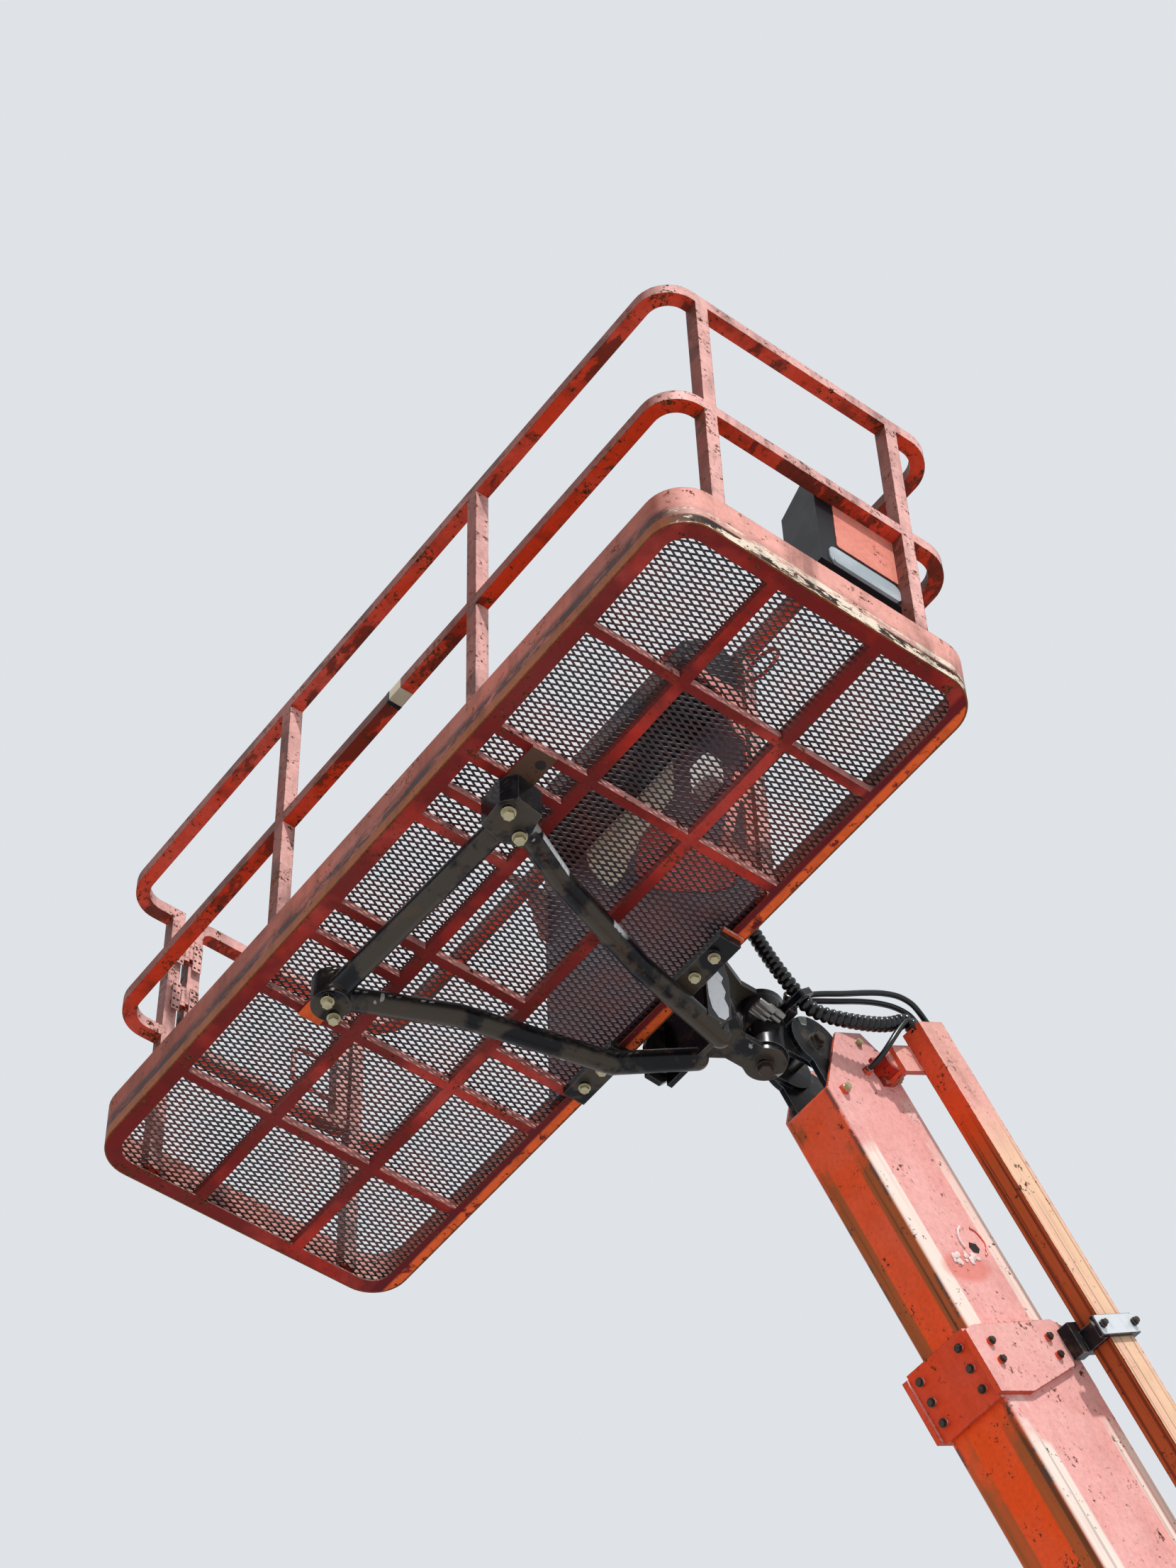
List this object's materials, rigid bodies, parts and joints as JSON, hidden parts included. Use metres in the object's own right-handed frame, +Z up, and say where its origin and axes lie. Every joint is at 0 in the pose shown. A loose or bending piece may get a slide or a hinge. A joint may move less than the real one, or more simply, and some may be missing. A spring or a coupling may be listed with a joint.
{
  "type": "telescopic boom lift",
  "caption": "Wheeled telescopic boom lift: slewing turntable, telescoping boom and a level railed work platform at its tip.",
  "frame": {"origin": "on the ground under the middle of the machine's outline", "axes": "+X from the turntable towards the platform, +Y to the machine's left, +Z up"},
  "size_m": [6.5078, 2.44, 9.6301],
  "materials": {
    "orange_paint": "satin",
    "black_paint": "satin",
    "grey_paint": "satin",
    "chromed_rod": "gloss",
    "steel": "satin",
    "cast_iron": "matte",
    "tyre_rubber": "matte",
    "hose_rubber": "matte",
    "nylon": "matte",
    "black_plastic": "matte"
  },
  "bodies": {
    "chassis": {"chassis_frame": "orange_paint", "slew_ring": "steel", "front_axle": "black_paint", "rear_axle": "black_paint"},
    "knuckle_left": {"steering_knuckle_left": "black_paint"},
    "knuckle_right": {"steering_knuckle_right": "black_paint"},
    "wheel_front_left": {"tyre_front_left": "tyre_rubber", "rim_front_left": "grey_paint"},
    "wheel_front_right": {"tyre_front_right": "tyre_rubber", "rim_front_right": "grey_paint"},
    "wheel_rear_left": {"tyre_rear_left": "tyre_rubber", "rim_rear_left": "grey_paint"},
    "wheel_rear_right": {"tyre_rear_right": "tyre_rubber", "rim_rear_right": "grey_paint"},
    "turntable": {"turntable_deck": "orange_paint", "boom_tower": "orange_paint", "boom_pivot_pin": "steel", "lift_foot_pin": "steel", "counterweight": "cast_iron", "engine_block": "cast_iron", "hydraulic_tank": "black_paint", "fuel_tank": "black_paint", "ground_controls": "black_plastic"},
    "hood_left": {"hood_left": "orange_paint"},
    "hood_right": {"hood_right": "orange_paint"},
    "boom_base": {"base_boom": "orange_paint", "base_boom_collar": "orange_paint", "base_wear_pads": "nylon"},
    "boom_mid": {"mid_boom": "orange_paint", "mid_boom_collar": "orange_paint", "mid_wear_pads": "nylon", "carrier_clamp": "black_paint"},
    "boom_fly": {"fly_boom": "orange_paint", "fly_nose": "black_paint", "hose_carrier": "orange_paint", "carrier_hoses": "hose_rubber"},
    "lift_barrel": {"lift_cylinder_barrel": "grey_paint"},
    "lift_rod": {"lift_cylinder_rod": "chromed_rod"},
    "platform_head": {"level_bracket": "black_paint", "level_pin": "steel"},
    "platform": {"support_frame": "black_paint", "floor_frame": "orange_paint", "floor_mesh": "orange_paint", "toe_board": "orange_paint", "guard_rails": "orange_paint", "console_bracket": "orange_paint", "console_panel": "black_plastic", "control_console": "black_plastic", "manual_box": "black_plastic", "platform_hoses": "hose_rubber"},
    "platform_gate": {"gate": "orange_paint"}
  },
  "joints": [
    {"name": "swing", "type": "hinge", "parent": "chassis", "child": "turntable", "pos_m": [-1.43398, 0, 0.96], "axis": [0, 0, 1], "continuous": true},
    {"name": "boom_lift", "type": "hinge", "parent": "turntable", "child": "boom_base", "pos_m": [-2.18398, 0, 1.75], "axis": [0, -1, 0], "range_deg": [-63, 17]},
    {"name": "boom_extend", "type": "slide", "parent": "boom_base", "child": "boom_mid", "axis": [0.5299, 0, 0.848], "range_m": [-0.7, 4.3]},
    {"name": "fly_extend", "type": "slide", "parent": "boom_mid", "child": "boom_fly", "axis": [0.5299, 0, 0.848], "range_m": [-0.7, 4.3]},
    {"name": "lift_barrel_swing", "type": "hinge", "parent": "turntable", "child": "lift_barrel", "pos_m": [-1.77398, 0, 1.11], "axis": [0, -1, 0], "range_deg": [-55.1, 14.9]},
    {"name": "lift_rod_slide", "type": "slide", "parent": "lift_barrel", "child": "lift_rod", "axis": [0.2922, 0, 0.9564], "range_m": [-0.756, 0.205]},
    {"name": "platform_level", "type": "hinge", "parent": "boom_fly", "child": "platform_head", "pos_m": [1.90431, 0, 8.72665], "axis": [0, 1, 0], "range_deg": [-63, 17], "deforming": ["carrier_hoses"]},
    {"name": "platform_rotate", "type": "hinge", "parent": "platform_head", "child": "platform", "pos_m": [2.02548, 0, 8.7311], "axis": [0, 0, 1], "range_deg": [-80, 80], "deforming": ["platform_hoses"]},
    {"name": "gate_swing", "type": "hinge", "parent": "platform", "child": "platform_gate", "pos_m": [3.05548, -1.1715, 9.1731], "axis": [0, 0, -1], "range_deg": [0, 90]},
    {"name": "hood_left_lift", "type": "hinge", "parent": "turntable", "child": "hood_left", "pos_m": [-1.43398, 0.326, 1.626], "axis": [1, 0, 0], "range_deg": [0, 60]},
    {"name": "hood_right_lift", "type": "hinge", "parent": "turntable", "child": "hood_right", "pos_m": [-1.43398, -0.326, 1.626], "axis": [-1, 0, 0], "range_deg": [0, 60]},
    {"name": "steer_left", "type": "hinge", "parent": "chassis", "child": "knuckle_left", "pos_m": [-0.18398, 0.795, 0.48], "axis": [0, 0, 1], "range_deg": [-30, 30]},
    {"name": "steer_right", "type": "hinge", "parent": "chassis", "child": "knuckle_right", "pos_m": [-0.18398, -0.795, 0.48], "axis": [0, 0, 1], "range_deg": [-30, 30]},
    {"name": "wheel_front_left_spin", "type": "hinge", "parent": "knuckle_left", "child": "wheel_front_left", "pos_m": [-0.18398, 1.02, 0.48], "axis": [0, 1, 0], "continuous": true},
    {"name": "wheel_front_right_spin", "type": "hinge", "parent": "knuckle_right", "child": "wheel_front_right", "pos_m": [-0.18398, -1.02, 0.48], "axis": [0, 1, 0], "continuous": true},
    {"name": "wheel_rear_left_spin", "type": "hinge", "parent": "chassis", "child": "wheel_rear_left", "pos_m": [-2.68398, 1.02, 0.48], "axis": [0, 1, 0], "continuous": true},
    {"name": "wheel_rear_right_spin", "type": "hinge", "parent": "chassis", "child": "wheel_rear_right", "pos_m": [-2.68398, -1.02, 0.48], "axis": [0, 1, 0], "continuous": true}
  ],
  "couplings": [
    {"joint": "fly_extend", "follows": "boom_extend", "ratio": 1},
    {"joint": "lift_barrel_swing", "follows": "boom_lift", "ratio": 0.874},
    {"joint": "lift_rod_slide", "follows": "boom_lift", "m_per_rad": 0.686},
    {"joint": "platform_level", "follows": "boom_lift", "ratio": 1},
    {"joint": "steer_right", "follows": "steer_left", "ratio": 1}
  ]
}
